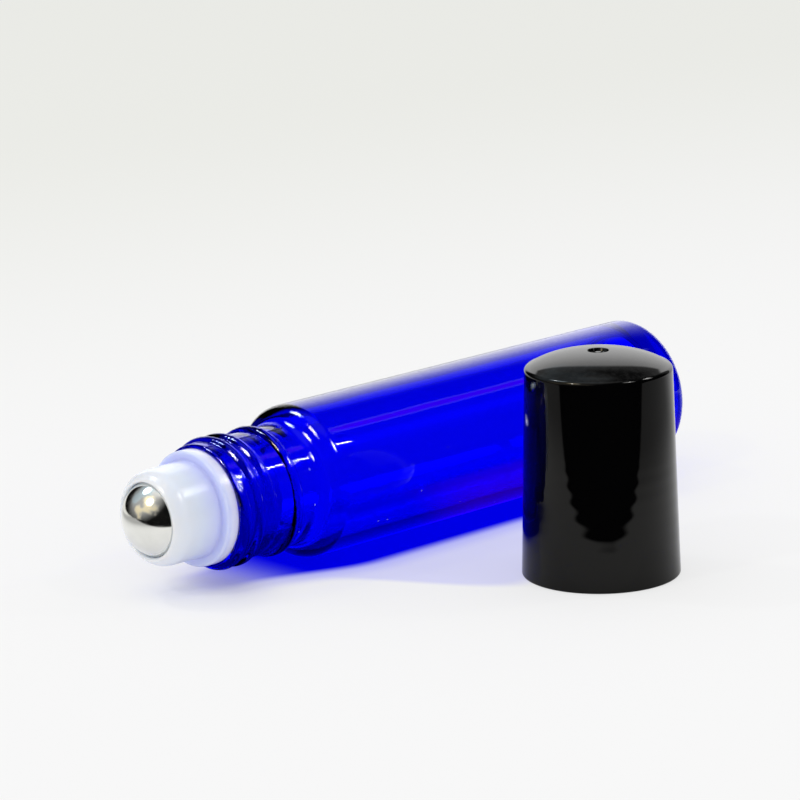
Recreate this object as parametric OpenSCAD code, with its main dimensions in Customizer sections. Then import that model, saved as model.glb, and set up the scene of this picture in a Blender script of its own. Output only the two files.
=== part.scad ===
// Roll-on bottle: a glass bottle with a snap-in roller housing, a steel ball and a screw cap.
// The bottle lies on its side along X with its mouth towards -X, and the cap stands beside it on its rim.
// The origin is in the middle of the whole, at the height of the table. Lengths are in millimetres.

/* [Glass bottle] */
// Diameter of the body
body_d = 19; // [17:0.5:22]
// Length of the straight body, from the base to where the shoulder starts to curve
body_h = 60; // [50:1:75]
// Thickness of the body's glass wall
wall_t = 1.35; // [1:0.05:1.8]
// Thickness of the base, over its bearing ring
base_t = 2.8; // [2:0.1:4]
// Radius of the heel, between the base and the body
heel_r = 1.5; // [1:0.1:2.5]
// Width of the bearing ring that the upright bottle stands on
foot_w = 1.4; // [0.8:0.1:2]
// Depth of the push-up in the middle of the base
punt_h = 0.9; // [0.5:0.1:1.5]
// Radius of the rounded edge of the shoulder
shoulder_r = 2; // [1.5:0.1:3]
// Radius of the fillet from the shoulder to the neck
neck_fillet_r = 1.5; // [1:0.1:2.5]
// Diameter of the neck, at the root of its thread
neck_d = 15; // [14:0.25:16]
// Length of the neck, from the end of the shoulder's fillet to the lip
neck_h = 12.4; // [11:0.2:15]
// Diameter of the bore of the neck
bore_d = 10.9; // [10:0.1:12]
// Radius of the lip's outer edge
lip_r = 0.4; // [0.2:0.05:0.6]
// Height of the bead and of the thread over the neck
bead_h = 0.55; // [0.4:0.05:0.8]
// Width of the bead, at its root
bead_w = 1.5; // [1.2:0.1:2]
// Distance from the lip to the middle of the bead
bead_from_lip = 9; // [8:0.1:10]

/* [Roller housing] */
// Length of the plug that sits in the neck
plug_h = 8; // [7:0.2:10]
// Thickness of the plug's wall
plug_wall = 0.85; // [0.6:0.05:1.2]
// Height of the plug's sealing ribs
rib_h = 0.2; // [0.1:0.05:0.3]
// Width of a sealing rib, at its root
rib_w = 0.9; // [0.6:0.1:1.2]
// Number of sealing ribs
rib_count = 3; // [2:1:3]
// Thickness of the flange that rests on the lip
flange_t = 1.7; // [1.2:0.1:2.2]
// How far the flange's edge lies inside the neck's surface
flange_inset = 0.45; // [0.2:0.05:0.8]
// Radius of the flange's front edge
flange_edge_r = 0.3; // [0.1:0.05:0.5]
// Thickness of the nose's wall round the ball
nose_wall = 0.8; // [0.6:0.05:1]
// How much wider the nose is at the flange, on the radius
nose_taper = 0.05; // [0.05:0.05:0.4]
// Height over the middle of the ball at which the nose starts to round
nose_over = 0.6; // [0.3:0.1:0.9]
// Radius of the nose's rounded front
nose_round_r = 2.6; // [2.3:0.1:3]
// Thickness of the cup's floor under the ball
cup_floor_t = 1; // [0.8:0.05:1.2]
// Diameter of the feed hole in the middle of the cup
feed_d = 2.4; // [1.6:0.1:3]
// Number of feed slots round the feed hole
slot_count = 3; // [3:1:5]
// Width of a feed slot
slot_w = 0.9; // [0.6:0.1:1.2]
// Distance from the axis to the round end of a feed slot
slot_reach = 2.9; // [2.4:0.1:3.2]

/* [Ball] */
// Diameter of the steel ball
ball_d = 10; // [9.5:0.1:10.5]
// Height of the ball's middle over the lip
ball_rise = 5.7; // [5.5:0.1:6]
// Running clearance between the ball and its cup
ball_gap = 0.05; // [0.03:0.01:0.08]
// How much narrower the mouth of the housing is than its cup, on the radius
mouth_grip = 0.52; // [0.4:0.02:0.6]
// How much wider the mouth's front edge is than its throat, on the radius
mouth_flare = 0.05; // [0.03:0.01:0.1]
// Radius of the mouth's rounded front edge
mouth_edge_r = 0.22; // [0.16:0.02:0.26]

/* [Cap] */
// Clearance between the cap's bore and the crest of the thread, on the radius
cap_gap = 0.2; // [0.15:0.05:0.3]
// Thickness of the cap's wall, at its rim
cap_wall = 1.25; // [1.1:0.05:1.5]
// How much narrower the cap is at its top edge, on the radius
cap_taper = 0.7; // [0.3:0.05:0.8]
// Thickness of the cap's top
cap_top_t = 1.4; // [1:0.1:1.6]
// Height of the dome over the top edge
dome_h = 1.8; // [1:0.1:2.4]
// Radius of the cap's top edge
cap_edge_r = 0.6; // [0.3:0.1:1]
// Radius of the rim's outer edge
rim_edge_r = 0.25; // [0.1:0.05:0.4]
// How far the closed cap's rim reaches down past the neck, over the shoulder
skirt_over = 0.85; // [0.5:0.05:1]
// Free height between the ball and the closed cap's top
head_room = 1.95; // [1.5:0.05:3]
// Inner diameter of the ring under the cap's top that presses on the ball
seal_d = 6.2; // [5.5:0.1:6.6]
// Thickness of that ring
seal_wall = 0.8; // [0.5:0.1:1]
// Diameter of the moulding dimple in the middle of the dome
dimple_d = 2.6; // [2:0.1:3.2]
// Depth of the dimple
dimple_t = 0.45; // [0.2:0.05:0.6]
// Diameter of the gate mark that stands in the dimple
gate_d = 0.9; // [0.6:0.1:1.2]

/* [Layout] */
// Distance from the plane of the base to the middle of the cap, towards the mouth
cap_ahead = 40.8; // [15:0.1:60]
// Distance from the bottle's axis to the middle of the cap
cap_aside = 32.6; // [22:0.1:50]

/* [Hidden] */
$fn = 96;
// Steps in each arc of an outline
arc_steps = 8;
// Overrun of a cut
over = 0.5;
// Gap between the flange and the glass lip
seat_gap = 0.05;
// Clearance between the sealing ribs and the neck's bore, on the radius
rib_gap = 0.03;
// Radius of the bore's edge at the lip
bore_edge_r = 0.25;
// How far below the outer shoulder's start the inner one starts
inner_shoulder_drop = 0.6;
// Radii of the inner shoulder and of the inner heel
inner_shoulder_r = 1.8;
inner_heel_r = 2.4;
// How far the throat's cone runs on into the cup
throat_over = 0.2;
// Lead-in at the end of the plug
plug_lead = 0.4;
// Height of the thread zone inside the cap over the closed lip, and of the slope above it
thread_zone_over = 1.2;
zone_slope_h = 0.8;
// Radial step from the thread zone to the narrower upper bore, and draft of that bore
zone_step = 0.5;
upper_draft = 0.15;
// Corner between the upper bore and the cap's top
upper_corner = 0.8;
// Lead-in inside the cap's rim
rim_lead = 0.3;
// Clearance between the closed cap's ring and the ball
seal_gap = 0.1;
// Width of the gate mark's top, as a share of its foot
gate_top_share = 0.8;

body_r = body_d / 2;
neck_r = neck_d / 2;
bore_r = bore_d / 2;
inner_r = body_r - wall_t;
ball_r = ball_d / 2;
cup_r = ball_r + ball_gap;

// Arc of an outline about a middle point, from one angle to another
function arc(middle, radius, from, to) =
    [for (i = [0:arc_steps]) let (a = from + (to - from) * i / arc_steps)
        middle + radius * [cos(a), sin(a)]];

// The same points in the other order
function backwards(points) = [for (i = [len(points) - 1:-1:0]) points[i]];

// Angle that a shoulder turns through, when it drops by this much on two radii
function shoulder_angle(drop, convex, concave) =
    drop < convex + concave ? acos(1 - drop / (convex + concave)) : 90;

// Height of such a shoulder
function shoulder_height(drop, convex, concave) =
    (convex + concave) * sin(shoulder_angle(drop, convex, concave));

// Shoulder from radius r0 in to r1: a rounded edge that runs into a fillet
function shoulder(r0, r1, z, convex, concave) =
    let (a = shoulder_angle(r0 - r1, convex, concave),
         top = z + shoulder_height(r0 - r1, convex, concave))
    concat(arc([r0 - convex, z], convex, 0, a),
           arc([r1 + concave, top], concave, 180 + a, 180));

// Rounded ring of this width and height on a shaft of radius r
function swell(r, z, width, height) =
    let (radius = (height * height + width * width / 4) / (2 * height),
         a = asin(width / (2 * radius)))
    arc([r + height - radius, z], radius, -a, a);

shoulder_h = shoulder_height(body_r - neck_r, shoulder_r, neck_fillet_r);
glass_h = body_h + shoulder_h + neck_h;

module glass_bottle() {
    foot_r = body_r - heel_r - foot_w;
    punt_round_r = (foot_r * foot_r + punt_h * punt_h) / (2 * punt_h);
    outside = concat(
        arc([0, punt_h - punt_round_r], punt_round_r, 90, acos(foot_r / punt_round_r)),
        arc([body_r - heel_r, heel_r], heel_r, -90, 0),
        shoulder(body_r, neck_r, body_h, shoulder_r, neck_fillet_r),
        swell(neck_r, glass_h - bead_from_lip, bead_w, bead_h),
        arc([neck_r - lip_r, glass_h - lip_r], lip_r, 0, 90));
    inside = concat(
        [[0, base_t]],
        arc([inner_r - inner_heel_r, base_t + inner_heel_r], inner_heel_r, -90, 0),
        shoulder(inner_r, bore_r, body_h - inner_shoulder_drop, inner_shoulder_r, inner_shoulder_r),
        arc([bore_r + bore_edge_r, glass_h - bore_edge_r], bore_edge_r, 180, 90));
    color([0.03, 0.03, 0.85]) lay_down() rotate_extrude()
        polygon(concat(outside, backwards(inside)));
}

// Parts of the housing and the ball are drawn with the lip at height zero
module roller_housing() {
    rib_r = bore_r - rib_gap;
    plug_r = rib_r - rib_h;
    plug_bore_r = plug_r - plug_wall;
    flange_r = neck_r - flange_inset;
    nose_r = cup_r + nose_wall;
    round_z = ball_rise + nose_over;
    throat_r = cup_r - mouth_grip;
    mouth_r = throat_r + mouth_flare;
    // The rounded edge touches the nose's round front from within
    edge_reach = nose_round_r - mouth_edge_r;
    mouth_angle = acos((mouth_r + mouth_edge_r - nose_r + nose_round_r) / edge_reach);
    edge_z = round_z + edge_reach * sin(mouth_angle);
    throat_z = ball_rise + sqrt(cup_r * cup_r - throat_r * throat_r) - throat_over;
    floor_r = cup_r + cup_floor_t;
    feed_r = feed_d / 2;
    rib_pitch = (plug_h - plug_lead) / (rib_count + 1);
    outside = concat(
        [[plug_bore_r, -plug_h], [plug_r - plug_lead, -plug_h], [plug_r, plug_lead - plug_h]],
        [for (i = [1:rib_count]) each swell(plug_r, plug_lead - plug_h + i * rib_pitch, rib_w, rib_h)],
        [[plug_r, seat_gap], [flange_r, seat_gap]],
        arc([flange_r - flange_edge_r, flange_t - flange_edge_r], flange_edge_r, 0, 90),
        [[nose_r + nose_taper, flange_t]],
        arc([nose_r - nose_round_r, round_z], nose_round_r, 0, mouth_angle),
        arc([mouth_r + mouth_edge_r, edge_z], mouth_edge_r, mouth_angle, 180),
        [[throat_r, throat_z], [feed_r, throat_z]]);
    underside = arc([0, ball_rise], floor_r, -acos(feed_r / floor_r), -acos(plug_bore_r / floor_r));
    color([0.85, 0.88, 0.96]) lay_down(glass_h) difference() {
        rotate_extrude() polygon(concat(outside, underside));
        translate([0, 0, ball_rise]) sphere(r = cup_r);
        for (i = [0:slot_count - 1]) rotate(360 * i / slot_count) feed_slot(floor_r);
    }
}

// Slot through the cup's floor, from the feed hole outwards
module feed_slot(floor_r) {
    low = ball_rise - floor_r - over;
    translate([0, -slot_w / 2, low]) cube([slot_reach, slot_w, floor_r + over]);
    translate([slot_reach, 0, low]) cylinder(h = floor_r + over, d = slot_w);
}

module roller_ball() {
    color([0.75, 0.76, 0.78]) lay_down(glass_h + ball_rise) sphere(r = ball_r);
}

cap_bore_r = neck_r + bead_h + cap_gap;
cap_r = cap_bore_r + cap_wall;
cap_h = skirt_over + neck_h + ball_rise + ball_r + head_room + cap_top_t;

module cap() {
    top_r = cap_r - cap_taper - cap_edge_r;
    dome_r = (top_r * top_r + dome_h * dome_h) / (2 * dome_h);
    dome_angle = asin(top_r / dome_r);
    dome_z = cap_h - dome_r - cap_edge_r;
    skin_r = dome_r + cap_edge_r;
    dimple_r = dimple_d / 2;
    dimple_floor = cap_h - dimple_t;
    gate_r = gate_d / 2;
    ceiling_r = skin_r - cap_top_t;
    upper_r = cap_bore_r - zone_step;
    upper_top_r = upper_r - upper_draft;
    zone_h = skirt_over + neck_h + thread_zone_over;
    seal_r = seal_d / 2;
    seal_out_r = seal_r + seal_wall;
    // The ring ends where it just clears the ball of the closed bottle
    seal_z = skirt_over + neck_h + ball_rise + sqrt(ball_r * ball_r - seal_r * seal_r) + seal_gap;
    function ceiling(r) = dome_z + sqrt(ceiling_r * ceiling_r - r * r);
    outside = concat(
        [[cap_bore_r + rim_lead, 0]],
        arc([cap_r - rim_edge_r, rim_edge_r], rim_edge_r, -90, 0),
        arc([top_r, cap_h - dome_h - cap_edge_r], cap_edge_r, 0, 90 - dome_angle),
        arc([0, dome_z], skin_r, 90 - dome_angle, acos(dimple_r / skin_r)),
        [[dimple_r - dimple_t / 2, dimple_floor], [gate_r, dimple_floor],
         [gate_r * gate_top_share, dimple_floor + dimple_t / 2], [0, dimple_floor + dimple_t / 2]]);
    inside = [
        [0, ceiling(0)], [seal_r, ceiling(seal_r)], [seal_r, seal_z],
        [seal_out_r, seal_z], [seal_out_r, ceiling(seal_out_r)],
        [upper_top_r - upper_corner, ceiling(upper_top_r - upper_corner)],
        [upper_top_r, ceiling(upper_top_r - upper_corner) - upper_corner],
        [upper_r, zone_h + zone_slope_h], [cap_bore_r, zone_h], [cap_bore_r, rim_lead]];
    color([0.05, 0.05, 0.05]) translate([base_x - cap_ahead, bottle_y - cap_aside, 0])
        rotate_extrude() polygon(concat(outside, inside));
}

// Place of the bottle's axis and of its base, so that the origin is in the middle of the whole
base_x = (glass_h + ball_rise + ball_r) / 2;
bottle_y = (cap_aside + cap_r - body_r) / 2;

// Lays an upright part on its side, that far up the bottle
module lay_down(up = 0) {
    translate([base_x, bottle_y, body_r]) rotate([0, -90, 0]) translate([0, 0, up]) children();
}

glass_bottle();
roller_housing();
roller_ball();
cap();
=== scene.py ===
"""Looks of the roll-on bottle: cobalt glass, milky roller housing, steel ball and black screw cap."""

import math
import bpy
from mathutils import Matrix, Vector


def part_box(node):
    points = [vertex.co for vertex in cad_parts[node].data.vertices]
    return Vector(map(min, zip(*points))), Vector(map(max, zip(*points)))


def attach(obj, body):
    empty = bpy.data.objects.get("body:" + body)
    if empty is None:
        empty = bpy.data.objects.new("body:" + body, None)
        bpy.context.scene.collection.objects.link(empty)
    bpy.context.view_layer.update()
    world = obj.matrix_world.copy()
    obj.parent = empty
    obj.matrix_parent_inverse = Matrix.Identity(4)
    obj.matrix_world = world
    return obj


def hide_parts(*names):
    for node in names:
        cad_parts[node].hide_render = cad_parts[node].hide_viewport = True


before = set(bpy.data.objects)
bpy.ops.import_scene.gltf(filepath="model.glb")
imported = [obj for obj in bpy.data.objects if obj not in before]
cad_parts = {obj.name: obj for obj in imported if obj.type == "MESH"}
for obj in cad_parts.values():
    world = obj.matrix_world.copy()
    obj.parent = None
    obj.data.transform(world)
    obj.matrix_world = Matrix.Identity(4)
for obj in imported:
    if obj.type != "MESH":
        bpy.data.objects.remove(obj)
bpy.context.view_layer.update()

bl_info = {
    "name": "Roll-on bottle",
    "version": (1, 0, 0),
    "blender": (4, 5, 0),
    "location": "View3D > Sidebar > Roll-on",
    "description": "Models a glass roll-on bottle with its roller housing, ball and screw cap",
    "category": "Add Mesh",
}

MM = 0.001
# The bottle lies on the table along X, its mouth towards -X
GLASS_LOW, GLASS_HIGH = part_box("glass_bottle")
BOTTLE_Y, BOTTLE_Z = (GLASS_LOW.y + GLASS_HIGH.y) / 2, (GLASS_LOW.z + GLASS_HIGH.z) / 2
BALL_LOW, BALL_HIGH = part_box("roller_ball")
CAP_LOW, CAP_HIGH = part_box("cap")


def length(name, millimetres, description=""):
    """A length of the object, in metres."""
    return bpy.props.FloatProperty(name=name, description=description, default=millimetres * MM,
                                   min=0, precision=5, subtype="DISTANCE", unit="LENGTH")


def angle(name, degrees, description):
    """An angle of the object, in radians."""
    return bpy.props.FloatProperty(name=name, description=description, default=math.radians(degrees),
                                   subtype="ANGLE", unit="ROTATION")


def colour(name, rgb, description):
    """A colour, in linear light."""
    return bpy.props.FloatVectorProperty(name=name, description=description, default=rgb, size=3,
                                         min=0, max=1, subtype="COLOR")


class RollonGlassSizes(bpy.types.PropertyGroup):
    body_r: length("Body radius", (GLASS_HIGH.z - GLASS_LOW.z) / 2 / MM)
    body_h: length("Body length", 60, "Straight length of the body, from the base")
    wall: length("Wall", 1.35, "Thickness of the body's wall")
    base: length("Base thickness", 2.8)
    heel_r: length("Heel radius", 1.5, "Radius between the base and the body")
    foot_w: length("Foot width", 1.4, "Width of the ring that the upright bottle stands on")
    punt_h: length("Push-up", 0.9, "Depth of the push-up in the base")
    shoulder_r: length("Shoulder radius", 2, "Radius of the shoulder's edge")
    fillet_r: length("Neck fillet radius", 1.5)
    neck_r: length("Neck radius", 7.5, "Radius of the neck, at the root of its thread")
    neck_h: length("Neck length", 12.4, "Length of the neck, from the fillet to the lip")
    bore_r: length("Bore radius", 5.45, "Radius of the neck's bore")
    lip_r: length("Lip radius", 0.4, "Radius of the lip's outer edge")
    ridge_h: length("Ridge height", 0.55, "Height of the bead and the thread")
    ridge_w: length("Ridge width", 1.5, "Width of the bead and the thread, at the root")
    bead_from_lip: length("Bead to lip", 9)
    pitch: length("Pitch", 2, "Pitch of the right-hand thread")
    thread_from_lip: length("Thread to lip", 0.77, "Distance from the lip to the thread's first ridge")
    thread_start: angle("Thread start", 22, "Where the thread starts, up from the camera's side")
    thread_turn: angle("Thread turn", 740, "How far the thread runs round the neck")
    thread_fade: angle("Thread fade", 26, "Length of the thread's tapered ends")
    seam_at: angle("Seam", 82, "Where the neck's mould halves meet, up from the camera's side")
    seam_h: length("Seam height", 0.05)
    seam_w: length("Seam width", 0.17, "Distance from its middle at which the seam has sunk to a third")
    bore_edge_r: length("Bore edge", 0.25, "Radius of the lip's inner edge")
    inner_shoulder_r: length("Inner shoulder", 1.8, "Radius of both curves of the shoulder inside")
    inner_drop: length("Inner drop", 0.6, "How far the shoulder inside starts below the one outside")
    inner_heel_r: length("Inner heel", 2.4, "Radius between the floor inside and the wall")


class RollonHousingSizes(bpy.types.PropertyGroup):
    plug_h: length("Plug length", 8)
    plug_wall: length("Plug wall", 0.85)
    plug_lead: length("Plug lead-in", 0.4)
    rib_h: length("Rib height", 0.2)
    rib_w: length("Rib width", 0.9)
    rib_gap: length("Rib gap", 0.03, "Clearance of the ribs in the bore")
    rib_count: bpy.props.IntProperty(name="Ribs", description="Number of sealing ribs", default=3, min=1)
    seat_gap: length("Seat gap", 0.05, "Gap between the flange and the lip")
    flange_t: length("Flange thickness", 1.7)
    flange_inset: length("Flange inset", 0.45, "How far the flange lies inside the neck's surface")
    flange_edge_r: length("Flange edge", 0.3, "Radius of the flange's front edge")
    flange_root_r: length("Flange root", 0.25, "Radius between the flange and the nose")
    nose_wall: length("Nose wall thickness", 0.8)
    nose_taper: length("Nose taper", 0.05, "How much wider the nose is at the flange")
    nose_over: length("Nose", 0.6, "Height over the ball's middle at which the nose starts to round")
    nose_round_r: length("Nose radius", 2.6, "Radius of the nose's rounded front")
    cup_floor: length("Cup floor thickness", 1)
    feed_r: length("Feed hole radius", 1.2)
    slot_count: bpy.props.IntProperty(name="Slots", description="Number of feed slots", default=3, min=1)
    slot_w: length("Slot width", 0.9)
    slot_reach: length("Slot reach", 2.9, "Distance from the axis to a slot's round end")
    mouth_grip: length("Grip", 0.52, "How much narrower the mouth is than the cup")
    mouth_flare: length("Flare", 0.05, "How much wider the mouth's edge is than its throat")
    mouth_edge_r: length("Mouth edge", 0.22, "Radius of the mouth's rounded front edge")


class RollonBallSizes(bpy.types.PropertyGroup):
    ball_r: length("Ball radius", (BALL_HIGH.z - BALL_LOW.z) / 2 / MM)
    ball_rise: length("Ball rise", 5.7, "Height of the ball's middle over the lip")
    ball_gap: length("Ball gap", 0.05, "Clearance of the ball in its cup")


class RollonCapSizes(bpy.types.PropertyGroup):
    bore_r: length("Bore radius", 8.25, "Radius of the threaded bore")
    wall: length("Wall", 1.25, "Thickness of the wall at the rim")
    cap_h: length("Height", (CAP_HIGH.z - CAP_LOW.z) / MM)
    taper: length("Taper", 0.7, "How much narrower the cap is at its top")
    top_t: length("Top thickness", 1.4)
    dome_h: length("Dome height", 1.8)
    crown: length("Crown", 0.13, "How far the dome stands over a ball's cap, halfway out")
    edge_r: length("Top edge radius", 0.6)
    rim_edge_r: length("Rim edge", 0.25, "Radius of the rim's outer edge")
    rim_lead: length("Rim lead-in", 0.3, "Lead-in inside the rim")
    zone_h: length("Thread zone", 14.45, "Height of the threaded part of the bore")
    zone_step: length("Step", 0.5, "Step to the narrower upper bore")
    zone_slope: length("Slope", 0.8, "Height of that step")
    upper_draft: length("Draft", 0.15, "Draft of the upper bore")
    upper_corner: length("Corner", 0.8, "Corner between the upper bore and the top")
    seal_r: length("Ring radius", 3.1, "Inner radius of the ring that presses on the ball")
    seal_wall: length("Ring wall thickness", 0.8)
    seal_z: length("Ring end", 22.68, "Height of the ring's end")
    dimple_r: length("Dimple radius", 1.3)
    dimple_t: length("Dimple depth", 0.45)
    gate_r: length("Gate mark radius", 0.45)
    thread_low: length("Thread low end", 6.3, "Height of the inner thread's low end")
    thread_high: length("Thread high end", 12.4, "Height of the inner thread's high end")
    pitch: length("Pitch", 2, "Pitch of the inner thread")
    ridge_h: length("Ridge height", 0.5, "Height of the inner thread")
    ridge_w: length("Ridge width", 1.1, "Width of the inner thread, at the root")
    thread_fade: angle("Thread fade", 40, "Length of the inner thread's tapered ends")
    sink: length("Sink marks", 0.0065, "Depth of the sink marks outside the thread")
    dimple_edge_r: length("Dimple edge radius", 0.12)
    gate_edge_r: length("Gate edge radius", 0.08)


class RollonColours(bpy.types.PropertyGroup):
    glass: colour("Glass", (0, 0, 0.992), "Colour that the glass lets through")
    glass_depth: bpy.props.FloatProperty(name="Glass depth", default=2400, min=0,
                                         description="How strongly the glass tints, per metre")
    housing: colour("Housing", (0.8, 0.83, 0.92), "Natural polyethylene, at the mouth")
    # The next three colours hold painted blue light: the glass's light shining through the housing, more of it
    # towards the flange
    housing_nose_painted_blue: colour("Housing's nose", (0.7, 0.76, 1), "Natural polyethylene, halfway up the nose")
    housing_root_painted_blue: colour("Housing's root", (0.6, 0.64, 1), "Natural polyethylene, by the flange")
    housing_rim_painted_blue: colour("Housing's rim", (0.72, 0.74, 1), "Natural polyethylene, at the flange's rim")
    steel: colour("Ball", (0.79, 0.79, 0.75), "Polished steel")
    cap: colour("Cap", (0.0008, 0.0008, 0.0009), "Black plastic")
    floor: colour("Floor", (0.905, 0.905, 0.905), "White table")
    backdrop: colour("Backdrop", (0.82, 0.825, 0.79), "Far end of the table, and the backdrop")
    # The pool and its rim are painted light: the blue light that comes down through the glass, painted on the
    # table
    pool: colour("Pool", (0, 0, 0.8), "Light on the table under the bottle")
    pool_rim: colour("Pool's rim", (0.2, 0.21, 0.97), "Light on the table beside the bottle")


# Outlines

def arc(middle, radius, start, end, steps=12):
    """Points of an arc about a middle point, from one angle to another, in degrees."""
    turns = [math.radians(start + (end - start) * i / steps) for i in range(steps + 1)]
    return [(middle[0] + radius * math.cos(a), middle[1] + radius * math.sin(a)) for a in turns]


def fine(start, end, step):
    """Points along a straight stretch, at most this far apart, without its first point."""
    count = max(1, math.ceil(math.dist(start, end) / step))
    return [tuple(a + (b - a) * i / count for a, b in zip(start, end)) for i in range(1, count + 1)]


def shoulder_turn(drop, convex, concave):
    """How far a shoulder's two curves turn, in degrees, to lose this much radius."""
    return math.degrees(math.acos(1 - drop / (convex + concave)))


def shoulder_height(drop, convex, concave):
    """How high a shoulder's two curves reach."""
    return (convex + concave) * math.sin(math.radians(shoulder_turn(drop, convex, concave)))


def shoulder(r0, r1, z, convex, concave):
    """A rounded edge from radius r0 that runs into a fillet at radius r1."""
    turn = shoulder_turn(r0 - r1, convex, concave)
    top = z + shoulder_height(r0 - r1, convex, concave)
    return (arc((r0 - convex, z), convex, 0, turn, steps=20)
            + arc((r1 + concave, top), concave, 180 + turn, 180, steps=20)[1:])


def swell(r, z, width, height, steps=14):
    """A rounded ring of this width and height on a shaft of radius r."""
    radius = (height * height + width * width / 4) / (2 * height)
    turn = math.degrees(math.asin(width / (2 * radius)))
    return arc((r + height - radius, z), radius, -turn, turn, steps)


def rounded(points, corners):
    """The outline with some corners rounded: corners gives a radius for the index of a point."""
    out = []
    for i, p in enumerate(points):
        radius = corners.get(i)
        if not radius:
            out.append(p)
            continue
        here = Vector(p)
        back = (Vector(points[i - 1]) - here).normalized()
        ahead = (Vector(points[i + 1]) - here).normalized()
        half = back.angle(ahead) / 2
        reach = radius / math.tan(half)
        middle = here + (back + ahead).normalized() * radius / math.sin(half)
        first, last = here + back * reach, here + ahead * reach
        a0 = math.atan2(*(first - middle).yx)
        a1 = math.atan2(*(last - middle).yx)
        a1 += math.tau * round((a0 - a1) / math.tau)
        out += arc(middle, radius, math.degrees(a0), math.degrees(a1), steps=6)
    return out


# Modelling

MERGE_DISTANCE = 2e-7
THREAD_STEP = 0.11 * MM     # Between the rings of the glass under its thread
CAP_STEP = 0.14 * MM        # Between the rings of the cap's threaded wall
BALL_CUTS = 47              # Across each face of the cube that is rounded into the ball
# The sink marks' low end over the rim, their high end over the thread zone, and how far in they are full
SINK_LOW, SINK_OVER, SINK_FADE = MM, 2 * MM, 4 * MM


def mode(name):
    bpy.ops.object.mode_set(mode=name)


def deselect():
    bpy.ops.object.select_all(action="DESELECT")


def start_piece(name):
    """Leaves one vertex selected at the origin, in edit mode, in a new object."""
    if bpy.context.object and bpy.context.object.mode != "OBJECT":
        mode("OBJECT")
    deselect()
    bpy.ops.mesh.primitive_plane_add(size=MM)
    piece = bpy.context.object
    piece.name = piece.data.name = name
    mode("EDIT")
    bpy.ops.mesh.select_mode(type="VERT")
    bpy.ops.mesh.select_all(action="SELECT")
    bpy.ops.mesh.merge(type="CENTER")
    return piece


def turned(name, outline, place, axis, centre, steps):
    """A piece turned on a lathe: the outline is extruded point by point and spun about the axis."""
    piece = start_piece(name)
    points = [place(*p) for p in outline]
    bpy.ops.transform.translate(value=points[0])
    for a, b in zip(points, points[1:]):
        bpy.ops.mesh.extrude_vertices_move(TRANSFORM_OT_translate={"value": b - a})
    bpy.ops.mesh.select_all(action="SELECT")
    bpy.ops.mesh.spin(steps=steps, angle=math.tau, center=centre, axis=axis, use_auto_merge=True)
    bpy.ops.mesh.select_all(action="SELECT")
    bpy.ops.mesh.remove_doubles(threshold=MERGE_DISTANCE)
    bpy.ops.mesh.normals_make_consistent(inside=False)
    mode("OBJECT")
    return piece


def raise_by(piece, name, height, weight):
    """Raises the surface along its normals, by a height times the weight at each vertex."""
    group = piece.vertex_groups.new(name=name)
    for v in piece.data.vertices:
        w = weight(v)
        if w > 0:
            group.add([v.index], w, "REPLACE")
    displace = piece.modifiers.new(name, "DISPLACE")
    displace.vertex_group = name
    displace.strength = height
    displace.mid_level = 0
    displace.direction = "NORMAL"
    bpy.context.view_layer.objects.active = piece
    bpy.ops.object.modifier_apply(modifier=displace.name)


def finish_piece(piece, material, body, stands_for, smooth):
    """Shades a piece, smooth up to an angle in degrees, and puts it on its body in place of its node."""
    bpy.context.view_layer.objects.active = piece
    deselect()
    piece.select_set(True)
    bpy.ops.object.shade_smooth_by_angle(angle=math.radians(smooth))
    piece.data.materials.clear()
    piece.data.materials.append(material)
    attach(piece, body)
    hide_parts(stands_for)


def ridge(distance, width):
    """Height of a rounded thread ridge at a distance from its middle, as a share, with soft feet."""
    crown, soft = 1 - (2 * distance / width) ** 2, 0.3
    return max(crown, 0) + max(soft - abs(crown), 0) ** 2 / (4 * soft)


def ease(x):
    """Smooth step from 0 to 1."""
    x = min(max(x, 0), 1)
    return x * x * (3 - 2 * x)


def helix(along, turn, first, turns, pitch, width, fade):
    """Share of a thread's height at a place: along the axis, and turned about it from the start."""
    best = 0
    for k in range(-1, int(turns / math.tau) + 2):
        t = turn % math.tau + k * math.tau
        if -fade <= t <= turns + fade:
            ends = ease((t + fade / 2) / fade) * ease((turns + fade / 2 - t) / fade)
            best = max(best, ends * ridge(along - first - pitch * t / math.tau, width))
    return best


# Materials

def fill(tree, made, inputs):
    """Sets each input of a node to its value, or links it to its socket."""
    for key, value in inputs.items():
        if isinstance(value, bpy.types.NodeSocket):
            tree.links.new(value, made.inputs[key])
        else:
            made.inputs[key].default_value = value


def node(tree, kind, inputs=None, **settings):
    """A shader node with its settings, whose inputs are set to values or linked to sockets."""
    made = tree.nodes.new("ShaderNode" + kind)
    for key, value in settings.items():
        setattr(made, key, value)
    fill(tree, made, inputs or {})
    return made


def new_material(name):
    """A material, its node tree and its own shader."""
    material = bpy.data.materials.new(name)
    material.use_nodes = True
    tree = material.node_tree
    return material, tree, tree.nodes["Principled BSDF"]


def maths(tree, operation, a, b=0, clamp=False):
    return node(tree, "Math", {0: a, 1: b}, operation=operation, use_clamp=clamp).outputs[0]


def total(tree, first, *others):
    """The sum of these values."""
    for other in others:
        first = maths(tree, "ADD", first, other)
    return first


def product(tree, first, *others):
    """These values times each other."""
    for other in others:
        first = maths(tree, "MULTIPLY", first, other)
    return first


def less(tree, first, second):
    """The first value less the second."""
    return maths(tree, "SUBTRACT", first, second)


def between(tree, value, low, high, out_low=0, out_high=1):
    """Smooth step of a value from low to high, from one result to another."""
    return node(tree, "MapRange", {"Value": value, "From Min": low, "From Max": high,
                                   "To Min": out_low, "To Max": out_high},
                interpolation_type="SMOOTHSTEP", clamp=True).outputs[0]


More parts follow.
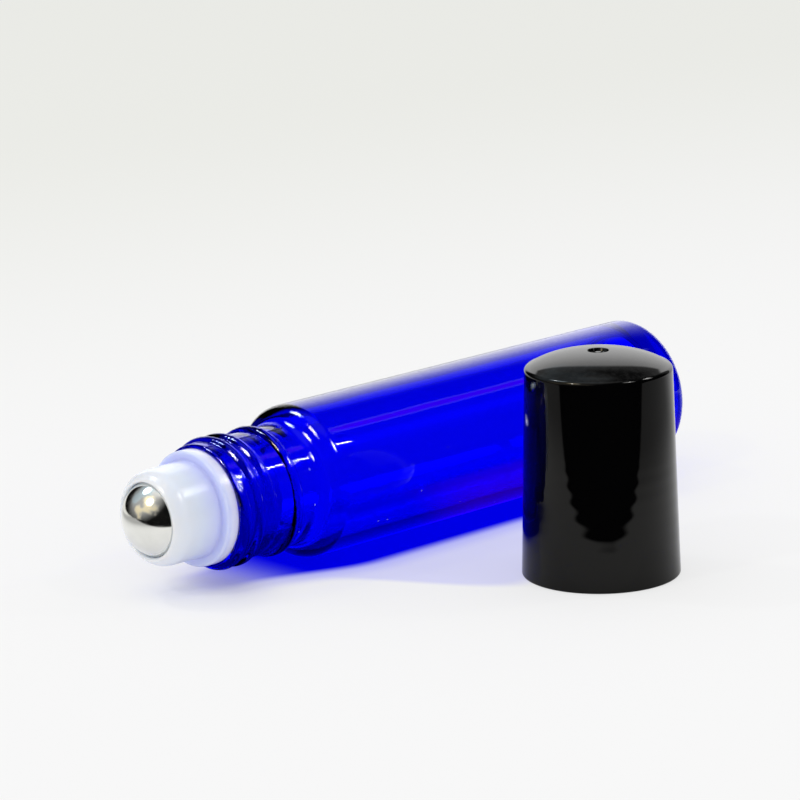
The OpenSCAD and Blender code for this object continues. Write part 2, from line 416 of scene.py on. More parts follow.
def blend(tree, share, first, second, kind="RGBA"):
    """Two colours, or two values, mixed: only the second where the share is 1."""
    a, b, result = {"RGBA": (6, 7, 2), "FLOAT": (2, 3, 0)}[kind]
    return node(tree, "Mix", {0: share, a: first, b: second}, data_type=kind).outputs[result]


def mix_shaders(tree, share, first, second):
    """Two shaders mixed: only the second where the share is 1."""
    return node(tree, "MixShader", {0: share, 1: first, 2: second}).outputs[0]


def opaque(rgb):
    """A colour as a node's input takes it."""
    return (*rgb, 1)


def emission(tree, tone):
    return node(tree, "Emission", {"Color": tone}).outputs[0]


def place_on_object(tree):
    return node(tree, "TexCoord").outputs["Object"]


def parts_of(tree, vector):
    """The X, Y and Z of a vector, or the three channels of a colour."""
    return node(tree, "SeparateXYZ", {0: vector}).outputs


def vectors(tree, operation, *inputs):
    return node(tree, "VectorMath", dict(enumerate(inputs)), operation=operation).outputs


def dot(tree, vector, constant):
    return vectors(tree, "DOT_PRODUCT", vector, tuple(constant))["Value"]


def ramp(tree, value, stops):
    """A colour for each value, by way of these stops."""
    made = node(tree, "ValToRGB", {"Fac": value})
    while len(made.color_ramp.elements) < len(stops):
        made.color_ramp.elements.new(1)
    for element, (at, rgb) in zip(made.color_ramp.elements, stops):
        element.position, element.color = at, opaque(rgb)
    return made.outputs["Color"]


def noise(tree, scale, detail=2, roughness=0.5, stretch=(1, 1, 1)):
    """Soft random values over an object, about 0.5."""
    mapping = node(tree, "Mapping", {"Vector": place_on_object(tree), "Scale": stretch})
    return node(tree, "TexNoise", {"Vector": mapping.outputs[0], "Scale": scale, "Detail": detail,
                                   "Roughness": roughness}).outputs["Fac"]


def bump(tree, height, strength, distance, over=None):
    """The normal of a surface with bumps of this height, over another normal if there is one."""
    inputs = {"Height": height, "Strength": strength, "Distance": distance}
    if over is not None:
        inputs["Normal"] = over
    return node(tree, "Bump", inputs).outputs[0]


def dust(tree, size, share_of_cells):
    """1 on small specks that lie here and there on a surface."""
    cells = node(tree, "TexVoronoi", {"Vector": place_on_object(tree), "Scale": 1 / size}).outputs
    few = maths(tree, "LESS_THAN", parts_of(tree, cells["Color"])[0], share_of_cells)
    return product(tree, few, between(tree, cells["Distance"], 0.03, 0.09, 1, 0))


# Stretches along X: where the neck's painted blue glow and its rub marks end, and where the thick heel begins
NECK_GLOW = (-0.021, -0.018)
NECK_RUBS = (-0.019, -0.014)
HEEL = (0.022, 0.034)
# Mirrorings inside the glass after which the rest of a ray's way is filled in with a painted blue glow
MIRRORINGS_FOLLOWED = 2.5
# Passes through the glass's surface, up to which a ray has been in the nearest wall only
WALL_PASSES = 2.5


def cobalt_glass(colours):
    """Glass tinted by its depth, a little wavy, with a neck rubbed by its cap, specks of dust, and a painted
    blue glow in its thick heel and neck.
    """
    material, tree, shader = new_material("cobalt glass")
    along = parts_of(tree, place_on_object(tree))["X"]
    waves = bump(tree, noise(tree, scale=260, stretch=(0.35, 1, 1)), strength=0.35, distance=0.00006)
    rubs = product(tree, noise(tree, scale=2300), between(tree, along, *NECK_RUBS, 1, 0))
    fill(tree, shader, {"Base Color": (1, 1, 1, 1), "Transmission Weight": 1, "Roughness": 0, "IOR": 1.5,
                        "Normal": bump(tree, rubs, strength=0.5, distance=0.00003, over=waves)})
    lint = node(tree, "BsdfDiffuse", {"Color": (0.6, 0.6, 0.75, 1)}).outputs[0]
    specks = product(tree, dust(tree, size=0.0016, share_of_cells=0.08), 0.6)
    dusty = mix_shaders(tree, specks, shader.outputs[0], lint)
    # Light that goes round and round in the thick heel, further than it is followed, is painted in: the glass
    # itself glows blue there
    path = node(tree, "LightPath").outputs
    thick = total(tree, between(tree, along, *HEEL), between(tree, along, *NECK_GLOW, 0.4, 0))
    painted_glow_share = product(tree, maths(tree, "GREATER_THAN", path["Glossy Depth"], MIRRORINGS_FOLLOWED), thick)
    filled = mix_shaders(tree, painted_glow_share, dusty, emission(tree, (0.01, 0, 0.65, 1)))
    # Light that falls through the bottle on the table goes straight on, and the depth of the glass tints it
    straight = node(tree, "BsdfTransparent", {"Color": (0.96, 0.96, 0.96, 1)}).outputs[0]
    surface = mix_shaders(tree, path["Is Shadow Ray"], filled, straight)
    depth = node(tree, "VolumeAbsorption", {"Color": opaque(colours.glass),
                                            "Density": colours.glass_depth}).outputs[0]
    fill(tree, tree.nodes["Material Output"], {"Surface": surface, "Volume": depth})
    return material


def natural_polyethylene(colours):
    """Milky plastic, white at the mouth, with painted blue light that grows towards its glass neighbour,
    standing in for the glass's light that shines through it.
    """
    material, tree, shader = new_material("natural polyethylene")
    along = parts_of(tree, place_on_object(tree))["X"]
    back = node(tree, "MapRange", {"Value": along, "From Min": BALL_LOW.x, "From Max": GLASS_LOW.x}).outputs[0]
    cloud = between(tree, noise(tree, scale=240, detail=3), 0.3, 0.7, -0.02, 0.02)
    # Painted blue light: the colour turns bluer from the mouth to the flange, where the glass's light shines
    # through
    tone = ramp(tree, total(tree, back, cloud), [
        (0.2, colours.housing), (0.55, colours.housing_nose_painted_blue), (0.8, colours.housing_root_painted_blue),
        (0.85, colours.housing_root_painted_blue), (0.9, colours.housing_rim_painted_blue)])
    grain = noise(tree, scale=2600, detail=3, roughness=0.6)
    fill(tree, shader, {"Base Color": tone, "Subsurface Weight": 1, "Subsurface Radius": (0.8, 0.9, 1),
                        "Subsurface Scale": 0.0012, "Roughness": 0.22, "IOR": 1.5,
                        "Normal": bump(tree, grain, strength=0.25, distance=0.00001)})
    return material


def polished_steel(colours):
    """Steel, a little cloudy from use."""
    material, tree, shader = new_material("polished steel")
    cloud = noise(tree, scale=420, detail=4, roughness=0.6)
    dull = tuple(c * 0.93 for c in colours.steel)
    fill(tree, shader, {"Base Color": ramp(tree, cloud, [(0.35, dull), (0.65, colours.steel)]), "Metallic": 1,
                        "Roughness": between(tree, cloud, 0.3, 0.8, 0.08, 0.15)})
    return material


def black_plastic(colours):
    """Glossy black plastic, with a painted sheen on its top that stands in for light from above, and specks of
    dust.
    """
    material, tree, shader = new_material("black plastic")
    up = parts_of(tree, node(tree, "NewGeometry").outputs["Normal"])["Z"]
    grain = noise(tree, scale=1500, detail=3, roughness=0.7)
    # Painted sheen: faces that look up are a little lighter, as if lit from above, unevenly by the grain
    haze = product(tree, between(tree, up, 0.5, 0.95), between(tree, grain, 0.4, 0.7, 0.3, 1), 0.07)
    sheen_and_dust = maths(tree, "ADD", haze, dust(tree, size=0.0017, share_of_cells=0.04), clamp=True)
    tone = ramp(tree, sheen_and_dust, [(0, colours.cap), (0.1, (0.012, 0.012, 0.012)), (1, (0.22, 0.22, 0.22))])
    rub = noise(tree, scale=900, detail=4, roughness=0.65)
    fill(tree, shader, {"Base Color": tone, "IOR": 1.3, "Specular Tint": (1, 0.985, 0.95, 1),
                        "Roughness": between(tree, rub, 0.35, 0.75, 0.02, 0.05),
                        "Normal": bump(tree, noise(tree, scale=330), strength=0.12, distance=0.00004)})
    return material


class RollonOperator:
    """What the operators share: the sizes, and places along and round the bottle."""
    bl_options = {"REGISTER", "UNDO"}

    @property
    def sizes(self):
        scene = bpy.context.scene
        return scene.rollon_glass, scene.rollon_housing, scene.rollon_ball, scene.rollon_cap

    def lay(self, h, r):
        """Place of an outline point of the bottle, whose height is counted from the base."""
        return Vector((GLASS_HIGH.x - h, BOTTLE_Y, BOTTLE_Z + r))

    def height(self, v):
        """Height of a vertex over the bottle's base."""
        return GLASS_HIGH.x - v.co.x

    def bearing(self, v):
        """Angle of a vertex round the bottle's axis, up from the camera's side."""
        return math.atan2(v.co.z - BOTTLE_Z, BOTTLE_Y - v.co.y)

    def radius(self, v):
        """Distance of a vertex from the bottle's axis."""
        return math.hypot(v.co.y - BOTTLE_Y, v.co.z - BOTTLE_Z)


class ROLLON_OT_glass_bottle(RollonOperator, bpy.types.Operator):
    """Turn the glass bottle, and raise its thread and mould seams"""
    bl_idname = "rollon.glass_bottle"
    bl_label = "Glass bottle"

    def execute(self, context):
        g = self.sizes[0]
        shoulder_h = shoulder_height(g.body_r - g.neck_r, g.shoulder_r, g.fillet_r)
        lip = g.body_h + shoulder_h + g.neck_h
        foot_r = g.body_r - g.heel_r - g.foot_w
        punt_r = (foot_r ** 2 + g.punt_h ** 2) / (2 * g.punt_h)
        inner_r = g.body_r - g.wall
        bead = swell(g.neck_r, lip - g.bead_from_lip, g.ridge_w, g.ridge_h)
        neck_low = g.body_h + shoulder_h
        outside = arc((0, g.punt_h - punt_r), punt_r, 90, math.degrees(math.acos(foot_r / punt_r)), steps=14)
        outside += arc((g.body_r - g.heel_r, g.heel_r), g.heel_r, -90, 0, steps=14)
        outside += fine(outside[-1], (g.body_r, g.body_h), 4 * MM)[:-1]
        outside += shoulder(g.body_r, g.neck_r, g.body_h, g.shoulder_r, g.fillet_r)
        outside += fine((g.neck_r, neck_low), bead[0], 4 * THREAD_STEP) + bead[1:]
        outside += fine(bead[-1], (g.neck_r, lip - g.lip_r), THREAD_STEP)
        outside += arc((g.neck_r - g.lip_r, lip - g.lip_r), g.lip_r, 0, 90, steps=10)[1:]
        inside = arc((g.bore_r + g.bore_edge_r, lip - g.bore_edge_r), g.bore_edge_r, 90, 180, steps=8)
        top = shoulder(inner_r, g.bore_r, g.body_h - g.inner_drop, g.inner_shoulder_r, g.inner_shoulder_r)[::-1]
        inside += fine(inside[-1], top[0], 2 * MM)[:-1] + top
        heel_top = g.base + g.inner_heel_r
        inside += fine(inside[-1], (inner_r, heel_top), 4 * MM)[:-1]
        inside += arc((inner_r - g.inner_heel_r, heel_top), g.inner_heel_r, 0, -90) + [(0, g.base)]
        bottle = turned("cobalt_bottle", [(z, r) for r, z in outside + inside], self.lay,
                        axis=(1, 0, 0), centre=self.lay(0, 0), steps=256)

        def thread(v):
            if self.radius(v) < g.neck_r - g.lip_r or self.height(v) < lip - g.bead_from_lip:
                return 0
            return helix(lip - self.height(v), g.thread_start - self.bearing(v), g.thread_from_lip,
                         g.thread_turn, g.pitch, g.ridge_w, g.thread_fade)

        def seam(v):
            if self.radius(v) < g.neck_r - g.lip_r or self.height(v) < neck_low:
                return 0
            off = (self.bearing(v) - g.seam_at + math.pi / 2) % math.pi - math.pi / 2
            return math.exp(-(off * g.neck_r / g.seam_w) ** 2)

        raise_by(bottle, "thread", g.ridge_h, thread)
        raise_by(bottle, "seam", g.seam_h, seam)
        finish_piece(bottle, cobalt_glass(context.scene.rollon_colours), "bottle",
                     "glass_bottle", smooth=60)
        return {"FINISHED"}


class ROLLON_OT_roller_housing(RollonOperator, bpy.types.Operator):
    """Turn the roller housing, and cut its feed slots"""
    bl_idname = "rollon.roller_housing"
    bl_label = "Roller housing"

    def execute(self, context):
        g, h, b = self.sizes[:3]
        lip = GLASS_HIGH.x - GLASS_LOW.x
        rib_r = g.bore_r - h.rib_gap
        plug_r = rib_r - h.rib_h
        plug_bore_r = plug_r - h.plug_wall
        flange_r = g.neck_r - h.flange_inset
        cup_r = b.ball_r + b.ball_gap
        nose_r = cup_r + h.nose_wall
        round_z = b.ball_rise + h.nose_over
        throat_r = cup_r - h.mouth_grip
        mouth_r = throat_r + h.mouth_flare
        edge_reach = h.nose_round_r - h.mouth_edge_r
        mouth_turn = math.degrees(math.acos((mouth_r + h.mouth_edge_r - nose_r + h.nose_round_r) / edge_reach))
        edge_z = round_z + edge_reach * math.sin(math.radians(mouth_turn))
        throat_z = b.ball_rise + math.sqrt(cup_r ** 2 - throat_r ** 2)
        floor_r = cup_r + h.cup_floor
        rib_pitch = (h.plug_h - h.plug_lead) / (h.rib_count + 1)
        points = [(plug_bore_r, -h.plug_h), (plug_r - h.plug_lead, -h.plug_h), (plug_r, h.plug_lead - h.plug_h)]
        for i in range(1, h.rib_count + 1):
            points += swell(plug_r, h.plug_lead - h.plug_h + i * rib_pitch, h.rib_w, h.rib_h, steps=8)
        points += [(plug_r, h.seat_gap), (flange_r, h.seat_gap)]
        edge_r = h.flange_edge_r
        points += arc((flange_r - edge_r, h.flange_t - edge_r), edge_r, 0, 90, steps=8)
        root = len(points)
        points += [(nose_r + h.nose_taper, h.flange_t)]
        points += arc((nose_r - h.nose_round_r, round_z), h.nose_round_r, 0, mouth_turn, steps=24)
        points += arc((mouth_r + h.mouth_edge_r, edge_z), h.mouth_edge_r, mouth_turn, 180)[1:]
        throat_turn = math.degrees(math.atan2(throat_z - b.ball_rise, throat_r))
        points += [(throat_r, throat_z)]
        feed_turn = -math.degrees(math.acos(h.feed_r / cup_r))
        points += arc((0, b.ball_rise), cup_r, throat_turn, feed_turn, steps=40)[1:]
        points += arc((0, b.ball_rise), floor_r, -math.degrees(math.acos(h.feed_r / floor_r)),
                      -math.degrees(math.acos(plug_bore_r / floor_r)))
        points = rounded(points, {root: h.flange_root_r})
        points += fine(points[-1], points[0], 2 * MM)
        housing = turned("roller_cage", [(z + lip, r) for r, z in points], self.lay,
                         axis=(1, 0, 0), centre=self.lay(0, 0), steps=192)
        self.cut_slots(housing, h, lip + b.ball_rise - floor_r - MM, lip)
        finish_piece(housing, natural_polyethylene(context.scene.rollon_colours), "housing",
                     "roller_housing", smooth=34)
        return {"FINISHED"}

    def cut_slots(self, housing, h, low, high):
        """Feed slots in the cup's floor, each a straight cut with a round end."""
        middle = (low + high) / 2
        for i in range(2 * h.slot_count):
            deselect()
            if i % 2:
                bpy.ops.mesh.primitive_cylinder_add(vertices=48, radius=h.slot_w / 2, depth=high - low,
                                                    location=self.lay(middle, h.slot_reach),
                                                    rotation=(0, math.pi / 2, 0))
            else:
                bpy.ops.mesh.primitive_cube_add(size=1, location=self.lay(middle, h.slot_reach / 2),
                                                scale=(high - low, h.slot_w, h.slot_reach))
            cutter = bpy.context.object
            mode("EDIT")
            bpy.ops.mesh.select_all(action="SELECT")
            bpy.ops.transform.rotate(value=math.tau * (i // 2) / h.slot_count, orient_axis="X",
                                     center_override=self.lay(0, 0))
            mode("OBJECT")
            cut = housing.modifiers.new("feed slot", "BOOLEAN")
            cut.operation, cut.solver, cut.object = "DIFFERENCE", "EXACT", cutter
            bpy.context.view_layer.objects.active = housing
            bpy.ops.object.modifier_apply(modifier=cut.name)
            bpy.data.objects.remove(cutter)


class ROLLON_OT_roller_ball(RollonOperator, bpy.types.Operator):
    """Round a divided cube into the steel ball"""
    bl_idname = "rollon.roller_ball"
    bl_label = "Roller ball"

    def execute(self, context):
        b = self.sizes[2]
        middle = (BALL_LOW + BALL_HIGH) / 2
        deselect()
        bpy.ops.mesh.primitive_cube_add(size=2 * b.ball_r)
        ball = bpy.context.object
        ball.name = ball.data.name = "steel_ball"
        mode("EDIT")
        bpy.ops.mesh.select_all(action="SELECT")
        bpy.ops.mesh.subdivide(number_cuts=BALL_CUTS)
        bpy.ops.transform.tosphere(value=1)
        mode("OBJECT")
        size = b.ball_r / ball.data.vertices[0].co.length
        mode("EDIT")
        bpy.ops.transform.resize(value=(size, size, size), center_override=(0, 0, 0))
        bpy.ops.transform.translate(value=middle)
        mode("OBJECT")
        finish_piece(ball, polished_steel(context.scene.rollon_colours), "ball",
                     "roller_ball", smooth=60)
        return {"FINISHED"}


class ROLLON_OT_screw_cap(RollonOperator, bpy.types.Operator):
    """Turn the cap, and raise its inner thread and the sink marks that it leaves outside"""
    bl_idname = "rollon.screw_cap"
    bl_label = "Screw cap"

    def execute(self, context):
        c = self.sizes[3]
        middle = (CAP_LOW + CAP_HIGH) / 2
        cap_r = c.bore_r + c.wall
        top_r = cap_r - c.taper - c.edge_r
        dome_r = (top_r ** 2 + c.dome_h ** 2) / (2 * c.dome_h)
        dome_turn = math.degrees(math.asin(top_r / dome_r))
        dome_z = c.cap_h - dome_r - c.edge_r
        skin_r, ceiling_r = dome_r + c.edge_r, dome_r + c.edge_r - c.top_t
        floor_z, gate_z = c.cap_h - c.dimple_t, c.cap_h - c.dimple_t / 2
        upper_r = c.bore_r - c.zone_step
        upper_top_r = upper_r - c.upper_draft
        corner_r, seal_out_r = upper_top_r - c.upper_corner, c.seal_r + c.seal_wall

        def ceiling(r):
            return dome_z + math.sqrt(ceiling_r ** 2 - r * r)

        edge_z = c.cap_h - c.dome_h - c.edge_r
        points = [(c.bore_r + c.rim_lead, 0)]
        points += arc((cap_r - c.rim_edge_r, c.rim_edge_r), c.rim_edge_r, -90, 0, steps=8)
        edge = arc((top_r, edge_z), c.edge_r, 0, 90 - dome_turn, steps=14)
        points += fine(points[-1], edge[0], CAP_STEP)[:-1] + edge
        dimple_turn = math.degrees(math.acos(c.dimple_r / skin_r))
        points += arc((0, dome_z), skin_r, 90 - dome_turn, dimple_turn, steps=24)[1:]
        brim = len(points) - 1
        points += [(c.dimple_r - c.dimple_t / 2, floor_z), (c.gate_r, floor_z),
                   (c.gate_r * 0.8, gate_z), (0, gate_z)]
        points = rounded(points, {brim: c.dimple_edge_r, brim + 1: c.dimple_edge_r,
                                  brim + 2: c.gate_edge_r, brim + 3: c.gate_edge_r})
        points += [(0, ceiling(0)), (c.seal_r, ceiling(c.seal_r)), (c.seal_r, c.seal_z), (seal_out_r, c.seal_z),
                   (seal_out_r, ceiling(seal_out_r)), (corner_r, ceiling(corner_r)),
                   (upper_top_r, ceiling(corner_r) - c.upper_corner), (upper_r, c.zone_h + c.zone_slope),
                   (c.bore_r, c.zone_h)]
        points += fine(points[-1], (c.bore_r, c.rim_lead), CAP_STEP) + [points[0]]
        foot = Vector((middle.x, middle.y, 0))
        cap = turned("screw_cap", points, lambda r, z: foot + Vector((r, 0, z)),
                     axis=(0, 0, 1), centre=foot, steps=192)
        turns = math.tau * (c.thread_high - c.thread_low) / c.pitch
        sink_top = c.zone_h + SINK_OVER

        def thread(v):
            x, y, z = v.co - foot
            if math.hypot(x, y) > c.bore_r + c.rim_lead / 2 or not c.rim_lead < z < c.zone_h:
                return 0
            return helix(z, math.atan2(y, x), c.thread_low, turns, c.pitch, c.ridge_w, c.thread_fade)

        def sink(v):
            x, y, z = v.co - foot
            if math.hypot(x, y) < c.bore_r + c.rim_lead or not SINK_LOW < z < sink_top:
                return 0
            turn = math.atan2(y, x) / math.tau - (z - c.thread_low) / c.pitch
            there = ease((z - SINK_LOW) / SINK_FADE) * ease((sink_top - z) / SINK_FADE)
            return there * (0.5 + 0.5 * math.cos(math.tau * turn))

        def crown(v):
            x, y, z = v.co - foot
            out = (x * x + y * y) / top_r ** 2
            return 4 * out * (1 - out) if z > edge_z and out < 1 else 0

        raise_by(cap, "thread", c.ridge_h, thread)
        raise_by(cap, "sink", -c.sink, sink)
        raise_by(cap, "crown", c.crown, crown)
        finish_piece(cap, black_plastic(context.scene.rollon_colours), "cap",
                     "cap", smooth=34)
        return {"FINISHED"}


# The studio

# Direction from the objects to the camera, level, and to the left of it
TO_CAMERA = Vector((-0.687, -0.727, 0))
TO_LEFT = Vector((-0.727, 0.687, 0))
CAMERA_AT = Vector((-0.33015, -0.33411, 0.13565))
CAMERA_YAW, CAMERA_PITCH, CAMERA_ROLL = 0.7568, 0.2429, -0.0275     # In radians, the yaw from Y towards X
LENS, SENSOR = 180, 36                                              # In millimetres
TABLE_SIZE, TABLE_GAP = 8, 0.00002
SHADED_SPOT = (-0.0365, 0.012, 0)    # Where the housing shades the table
TURNED_BACK_SHADE = 0.65             # The light that goes missing where the glass's wall turns a ray back
ALMOST_BLACK = (0.003, 0.003, 0.003, 1)
WHITE = (1, 1, 1, 1)
# Each lamp's aim, bearing and rise from there in degrees, distance, length, width and watts
NECK_AT = (-0.027, 0.0102, 0.014)
LAMPS = {"left light": ((0, 0, 0), -52, 48, 0.7, 0.045, 0.045, 0.4),
         "rear light": ((0, 0, 0), -113, 56, 0.7, 0.045, 0.045, 0.3),
         "right light": ((0, 0, 0), 60, 50, 0.7, 0.045, 0.045, 0.3),
         "neck light": (NECK_AT, 99, 39, 0.15, 0.020, 0.004, 0.0125)}
# What mirrors see of the lamps and their haze: bearing, rise and radius of the core and of the edge in degrees,
# brightness in rubbed surfaces and in the glass, and tint
HAZES = ((-113, 56, 3, 11, 8, 25, None),
         (-113, 56, 12, 38, 0.25, 0, (0.75, 0.9, 1)),
         (-52, 48, 3, 11, 8, 25, None),
         (-52, 36, 10, 32, 0.55, 0, (1, 0.88, 0.62)),
         (-90, 88, 10, 30, 0.5, 0.2, None),
         (60, 50, 3, 10, 8, 25, None),
         (-75, 50, 6, 60, 0.5, 0, None),
         (100, 42, 3, 9, 8, 0, None),
         (122, 47, 1.5, 5, 0, 1.2, (0.35, 0, 1)))


def light_path(tree):
    return node(tree, "LightPath").outputs


def seen_through_glass_or_mirror(tree):
    """1 where the ray comes straight from the camera by way of glass or a mirror, else 0."""
    path = light_path(tree)
    either = maths(tree, "MAXIMUM", path["Is Glossy Ray"], path["Is Transmission Ray"])
    return product(tree, either, maths(tree, "SUBTRACT", 1, path["Diffuse Depth"], clamp=True))


def sharp_mirror(tree):
    """1 where a smooth surface, such as the outside of the glass, mirrors the ray, else 0."""
    path = light_path(tree)
    return product(tree, path["Is Singular Ray"], less(tree, 1, path["Is Transmission Ray"]))


def turned_back(tree):
    """How much darker things are for a ray that the glass's wall turned back, else 0."""
    path = light_path(tree)
    in_wall = maths(tree, "LESS_THAN", path["Transmission Depth"], WALL_PASSES)
    return product(tree, path["Is Transmission Ray"], in_wall, TURNED_BACK_SHADE)


def rest_of(tree, *shares):
    """What is left of 1 once each of these shares is taken off in turn."""
    return product(tree, 1, *(less(tree, 1, part) for part in shares))


def bearing_to(side, rise):
    """Direction this many degrees to the right of the camera, seen from the objects, and up."""
    turn = math.atan2(TO_CAMERA.y, TO_CAMERA.x) + math.radians(side)
    level = math.cos(math.radians(rise))
    return Vector((level * math.cos(turn), level * math.sin(turn), math.sin(math.radians(rise))))


class ROLLON_OT_studio(RollonOperator, bpy.types.Operator):
    """Set up the camera, the white table, the lamps and the tent round them"""
    bl_idname = "rollon.studio"
    bl_label = "Studio"

    def execute(self, context):
        colours = context.scene.rollon_colours
        self.set_camera(context)
        self.lay_floor(colours)
        self.hang_lamps()
        self.pitch_tent(context.scene, colours)
        context.scene.view_settings.view_transform = "Standard"
        return {"FINISHED"}

    def set_camera(self, context):
        """A long lens that looks down on the objects."""
        data = bpy.data.cameras.new("camera")
        data.sensor_width, data.lens = SENSOR, LENS
        data.clip_start, data.clip_end = 0.01, 20
        camera = bpy.data.objects.new("camera", data)
        context.scene.collection.objects.link(camera)
        ahead = Vector((math.sin(CAMERA_YAW) * math.cos(CAMERA_PITCH),
                        math.cos(CAMERA_YAW) * math.cos(CAMERA_PITCH), -math.sin(CAMERA_PITCH)))
        level = Vector((math.cos(CAMERA_YAW), -math.sin(CAMERA_YAW), 0))
        up = level.cross(ahead)
        right = math.cos(CAMERA_ROLL) * level + math.sin(CAMERA_ROLL) * up
        top = math.cos(CAMERA_ROLL) * up - math.sin(CAMERA_ROLL) * level
        turn = Matrix((right, top, -ahead)).transposed().to_4x4()
        camera.matrix_world = Matrix.Translation(CAMERA_AT) @ turn
        context.scene.camera = camera

    def lay_floor(self, colours):
        """The white table, with its own looks for the camera, for mirrors and for the glass."""
        deselect()
        bpy.ops.mesh.primitive_plane_add(size=TABLE_SIZE, location=(0, 0, -TABLE_GAP))
        floor = bpy.context.object
        floor.name = "table"
        material, tree, shader = new_material("white table")
        place = place_on_object(tree)
        along, y, _ = parts_of(tree, place)
        across = maths(tree, "ABSOLUTE", less(tree, y, BOTTLE_Y))
        ahead, side = dot(tree, place, TO_CAMERA), dot(tree, place, TO_LEFT)
        far = between(tree, less(tree, ahead, product(tree, side, 0.6)), -0.36, -0.06, 1, 0)
        tone = self.table_with_painted_light(tree, colours, far, along, across)
        fill(tree, shader, {"Base Color": tone, "Roughness": 0.6, "Specular IOR Level": 0})
        # The camera sees the table partly in its plain colour, so shadows are pale, but less so by the housing
        under = vectors(tree, "DISTANCE", place, SHADED_SPOT)["Value"]
        lift = product(tree, light_path(tree)["Is Camera Ray"], between(tree, under, 0.003, 0.012, 0.15, 0.7))
        lifted = mix_shaders(tree, lift, shader.outputs[0], emission(tree, tone))
        # Painted reflection: to the smooth glass's mirror only, the table glows with the blue light under the
        # bottle, and some violet beside it
        mirrored = seen_through_glass_or_mirror(tree)
        near = product(tree, between(tree, ahead, -0.06, -0.03), sharp_mirror(tree), mirrored)
        in_glass = mix_shaders(tree, near, lifted, self.painted_mirror_glow(tree, along, across))
        # Painted reflection: mirrors see the table end a little before the things that stand on it, as in a tent
        # with an open front, and darker further off; there the table shows them an almost black emission
        beside = maths(tree, "ABSOLUTE", total(tree, side, 0.02))
        off = between(tree, less(tree, ahead, product(tree, beside, 0.2)), 0.041, 0.047)
        away = vectors(tree, "LENGTH", place)["Value"]
        dim = product(tree, between(tree, away, 0.06, 0.11, 0, 0.5), between(tree, ahead, -0.08, -0.03))
        lit = rest_of(tree, off, dim, turned_back(tree))
        mirrored_dark_share = product(tree, less(tree, 1, lit), mirrored)
        surface = mix_shaders(tree, mirrored_dark_share, in_glass, emission(tree, ALMOST_BLACK))
        fill(tree, tree.nodes["Material Output"], {"Surface": surface})
        floor.data.materials.append(material)

    def table_with_painted_light(self, tree, colours, far, along, across):
        """The table's colour: white, duller far off, and a painted blue pool of light where light comes down
        through the glass.
        """
        paper = ramp(tree, far, [(0, colours.floor), (1, colours.backdrop)])
        # The painted pool of light is as wide as the bottle and as long as its glass, with a paler painted rim
        # of light beyond on either side
        past = less(tree, across, between(tree, along, -0.030, -0.012, 0.0036, 0.0088))
        span = product(tree, between(tree, along, -0.036, -0.020), between(tree, along, 0.024, 0.040, 1, 0))
        reach = less(tree, between(tree, along, -0.022, -0.007, 0.004, 0.020),
                     between(tree, along, 0.004, 0.020, 0, 0.014))
        rim = total(tree, between(tree, past, 0, 0.005, 0.27, 0),
                    between(tree, less(tree, past, reach), -0.002, 0.002, 0.3, 0))
        pool = between(tree, past, -0.0010, 0.0017, 1, 0)
        rimmed = blend(tree, product(tree, rim, span), paper, opaque(colours.pool_rim))
        return blend(tree, product(tree, pool, span), rimmed, opaque(colours.pool))

    def painted_mirror_glow(self, tree, along, across):
        """A painted reflection: the glow of blue and violet light that the smooth glass mirrors from the table,
        seen by no other ray.
        """
        red = product(tree, between(tree, across, 0.003, 0.010, 0.03, 0.14),
                      between(tree, across, 0.013, 0.022, 1, 0), between(tree, along, -0.002, 0.012))
        blue = product(tree, between(tree, along, -0.024, -0.016, 0.03, 1),
                       between(tree, across, 0.004, 0.010, 1.7, 1))
        return emission(tree, node(tree, "CombineXYZ", {"X": red, "Z": blue}).outputs[0])

    def hang_lamps(self):
        """Soft round lamps at some distance, and a small long one for the neck."""
        for name, (aim, side, rise, away, long, wide, power) in LAMPS.items():
            data = bpy.data.lights.new(name, "AREA")
            data.shape, data.size, data.size_y, data.energy = "ELLIPSE", long, wide, power
            lamp = bpy.data.objects.new(name, data)
            bpy.context.scene.collection.objects.link(lamp)
            way = bearing_to(side, rise)
            lamp.location = Vector(aim) + way * away
            along = (Vector((1, 0, 0)) - way * way.x).normalized()
            lamp.rotation_euler = Matrix((along, way.cross(along), way)).transposed().to_euler()

    def pitch_tent(self, scene, colours):
        """Soft light from all round, a backdrop, and a tent with lamps that only mirrors and glass see."""
        world = scene.world or bpy.data.worlds.new("tent")
        scene.world = world
        world.use_nodes = True
        tree = world.node_tree
        tree.nodes.clear()
        way = node(tree, "TexCoord").outputs["Generated"]
        front, left = dot(tree, way, TO_CAMERA), dot(tree, way, TO_LEFT)
        sharp, mirrored = sharp_mirror(tree), seen_through_glass_or_mirror(tree)
        glow, tint = self.tent_light(tree, way, sharp, self.tent_wall(tree, way, front, left, sharp))
        glow = product(tree, glow, less(tree, 1, turned_back(tree)))
        sky = between(tree, front, -0.7, 0.7, 1.05, 0.82)
        light = node(tree, "Background", {
            "Color": blend(tree, mirrored, WHITE, tint),
            "Strength": blend(tree, mirrored, sky, glow, "FLOAT")}).outputs[0]
        plain = node(tree, "Background", {"Color": opaque(colours.backdrop), "Strength": 1}).outputs[0]
        seen = mix_shaders(tree, light_path(tree)["Is Camera Ray"], light, plain)
        output = node(tree, "OutputWorld", {"Surface": seen})
        output.is_active_output = True

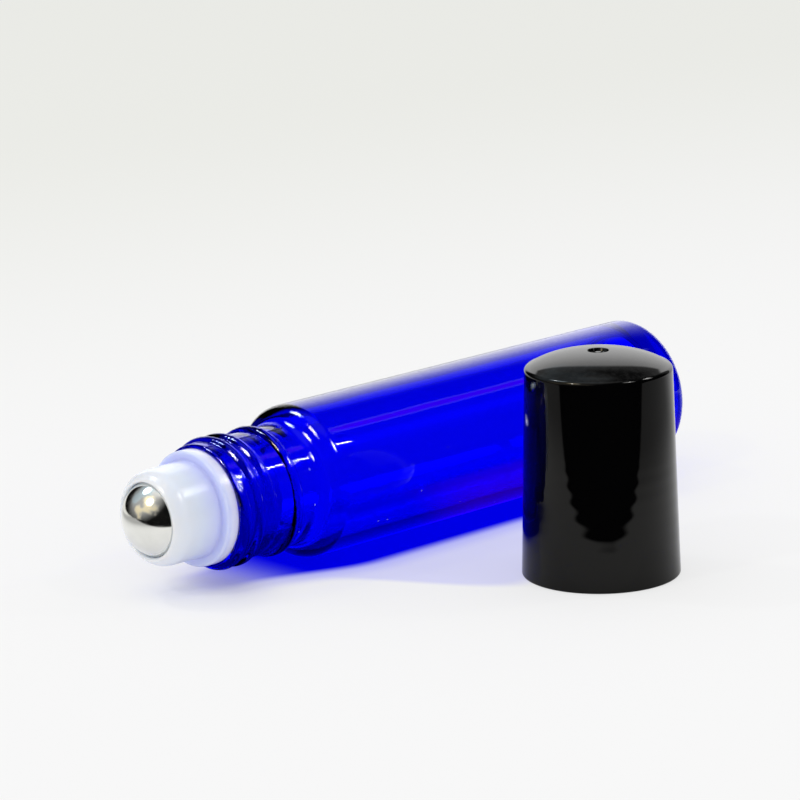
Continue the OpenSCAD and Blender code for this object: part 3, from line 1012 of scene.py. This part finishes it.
    def tent_wall(self, tree, way, front, left, sharp):
        """Brightness of the tent's walls, which end in a brow over the camera and are open in front."""
        rise = dot(tree, way, (0, 0, 1))
        aside = total(tree, left, 0.05)
        brow = total(tree, rise, product(tree, aside, aside, 1.65))
        rubbed = product(tree, between(tree, rise, 0, 0.5, 1.15, 1.9), between(tree, brow, 0.66, 0.735, 1, 0.15))
        wall = blend(tree, sharp, rubbed, between(tree, rise, 0.25, 0.7, 1.5, 0), "FLOAT")
        room = product(tree, between(tree, front, -0.75, -0.5, 1, 0), between(tree, left, 0.3, 0.5, 1, 0))
        return total(tree, product(tree, wall, room), 0.004)

    def tent_light(self, tree, way, sharp, brightness):
        """The tent with its lamps and their haze, which is uneven as in a rubbed ball, and its tint."""
        uneven = node(tree, "TexNoise", {"Vector": way, "Scale": 2.6, "Detail": 2, "Roughness": 0.5})
        warped = vectors(tree, "SUBTRACT", uneven.outputs["Color"], (0.5, 0.5, 0.5))[0]
        warped = vectors(tree, "MULTIPLY_ADD", warped, (0.9, 0.9, 0.9), way)[0]
        tint = WHITE
        for side, height, core, edge, rubbed, glassy, tone in HAZES:
            near = dot(tree, warped if tone and rubbed else way, bearing_to(side, height))
            glow = between(tree, near, math.cos(math.radians(edge)), math.cos(math.radians(core)))
            amount = blend(tree, sharp, rubbed, glassy, "FLOAT")
            brightness = total(tree, brightness, product(tree, glow, amount))
            if tone:
                tint = blend(tree, glow, tint, opaque(tone))
        return brightness, tint


class ROLLON_PT_panel(bpy.types.Panel):
    """Lists the sizes of each piece, with a button that models it"""
    bl_idname = "ROLLON_PT_panel"
    bl_label = "Roll-on bottle"
    bl_space_type = "VIEW_3D"
    bl_region_type = "UI"
    bl_category = "Roll-on"

    def draw(self, context):
        for name, (_, operator) in ROWS.items():
            box, group = self.layout.box(), getattr(context.scene, name)
            for key in group.bl_rna.properties.keys():
                if key not in ("rna_type", "name"):
                    box.prop(group, key)
            box.operator(operator.bl_idname)


# The sizes of each piece, and the colours, with the operator that uses them
ROWS = {"rollon_glass": (RollonGlassSizes, ROLLON_OT_glass_bottle),
        "rollon_housing": (RollonHousingSizes, ROLLON_OT_roller_housing),
        "rollon_ball": (RollonBallSizes, ROLLON_OT_roller_ball),
        "rollon_cap": (RollonCapSizes, ROLLON_OT_screw_cap),
        "rollon_colours": (RollonColours, ROLLON_OT_studio)}
CLASSES = (*(made for row in ROWS.values() for made in row), ROLLON_PT_panel)


def register():
    for made in CLASSES:
        bpy.utils.register_class(made)
    for name, (group, _) in ROWS.items():
        setattr(bpy.types.Scene, name, bpy.props.PointerProperty(type=group))


def unregister():
    for name in ROWS:
        delattr(bpy.types.Scene, name)
    for made in reversed(CLASSES):
        bpy.utils.unregister_class(made)


def main():
    register()
    bpy.ops.rollon.studio()
    bpy.ops.rollon.glass_bottle()
    bpy.ops.rollon.roller_housing()
    bpy.ops.rollon.roller_ball()
    bpy.ops.rollon.screw_cap()


if __name__ == "__main__":
    main()
